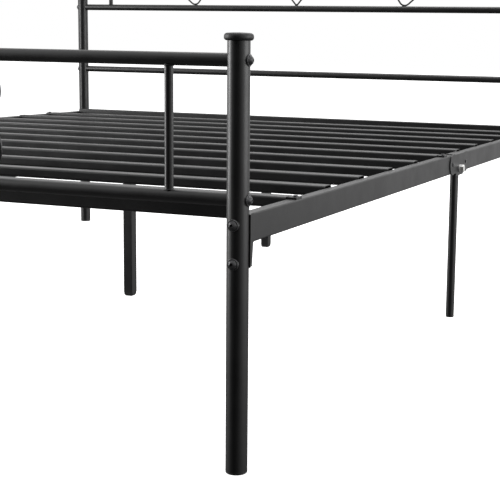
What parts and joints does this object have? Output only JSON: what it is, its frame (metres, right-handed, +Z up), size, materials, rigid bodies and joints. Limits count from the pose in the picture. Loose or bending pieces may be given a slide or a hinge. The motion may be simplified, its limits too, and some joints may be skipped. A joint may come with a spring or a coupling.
{
  "type": "bed frame",
  "caption": "Black queen-size metal platform bed frame with round posts, a low footboard, a taller scroll headboard, steel slats and a deck that folds in the middle.",
  "frame": {"origin": "on the floor, under the middle of the bed", "axes": "+X to the right seen from the foot end, +Y to the headboard, +Z up"},
  "size_m": [1.597, 2.1092, 1.0225],
  "materials": {
    "powder_black": "satin",
    "plastic_black": "matte",
    "black_fasteners": "satin",
    "zinc_bolts": "satin"
  },
  "bodies": {
    "head_half": {"fold_bracket_left": "powder_black", "fold_bracket_right": "powder_black", "fold_rivets": "black_fasteners", "head_centre_leg": "powder_black", "head_centre_rail": "powder_black", "head_cross_rail": "powder_black", "head_deck_screws": "black_fasteners", "head_glides": "plastic_black", "head_post_bolts": "black_fasteners", "head_post_caps": "plastic_black", "head_post_left": "powder_black", "head_post_nuts": "black_fasteners", "head_post_right": "powder_black", "head_post_washers": "black_fasteners", "head_rail_saddles": "powder_black", "head_side_rail_left": "powder_black", "head_side_rail_right": "powder_black", "headboard_lower_rail": "powder_black", "headboard_lower_scroll": "powder_black", "headboard_middle_rail": "powder_black", "headboard_spindles": "powder_black", "headboard_top_rail": "powder_black", "headboard_upper_scroll": "powder_black", "middle_leg_bolts": "zinc_bolts", "middle_leg_centre": "powder_black", "middle_leg_left": "powder_black", "middle_leg_right": "powder_black", "slat_07": "powder_black", "slat_08": "powder_black", "slat_09": "powder_black", "slat_10": "powder_black", "slat_11": "powder_black"},
    "foot_half": {"fold_sleeves": "black_fasteners", "foot_centre_leg": "powder_black", "foot_centre_rail": "powder_black", "foot_cross_rail": "powder_black", "foot_deck_screws": "black_fasteners", "foot_glides": "plastic_black", "foot_post_bolts": "black_fasteners", "foot_post_caps": "plastic_black", "foot_post_left": "powder_black", "foot_post_nuts": "black_fasteners", "foot_post_right": "powder_black", "foot_post_washers": "black_fasteners", "foot_rail_saddles": "powder_black", "foot_side_rail_left": "powder_black", "foot_side_rail_right": "powder_black", "footboard_diamond": "powder_black", "footboard_lower_rail": "powder_black", "footboard_rings": "powder_black", "footboard_spindles": "powder_black", "footboard_top_rail": "powder_black", "slat_01": "powder_black", "slat_02": "powder_black", "slat_03": "powder_black", "slat_04": "powder_black", "slat_05": "powder_black", "slat_06": "powder_black"}
  },
  "joints": [
    {"name": "deck_fold", "type": "hinge", "parent": "head_half", "child": "foot_half", "pos_m": [0, 0.047, 0.355], "axis": [-1, 0, 0], "range_deg": [0, 90]}
  ]
}
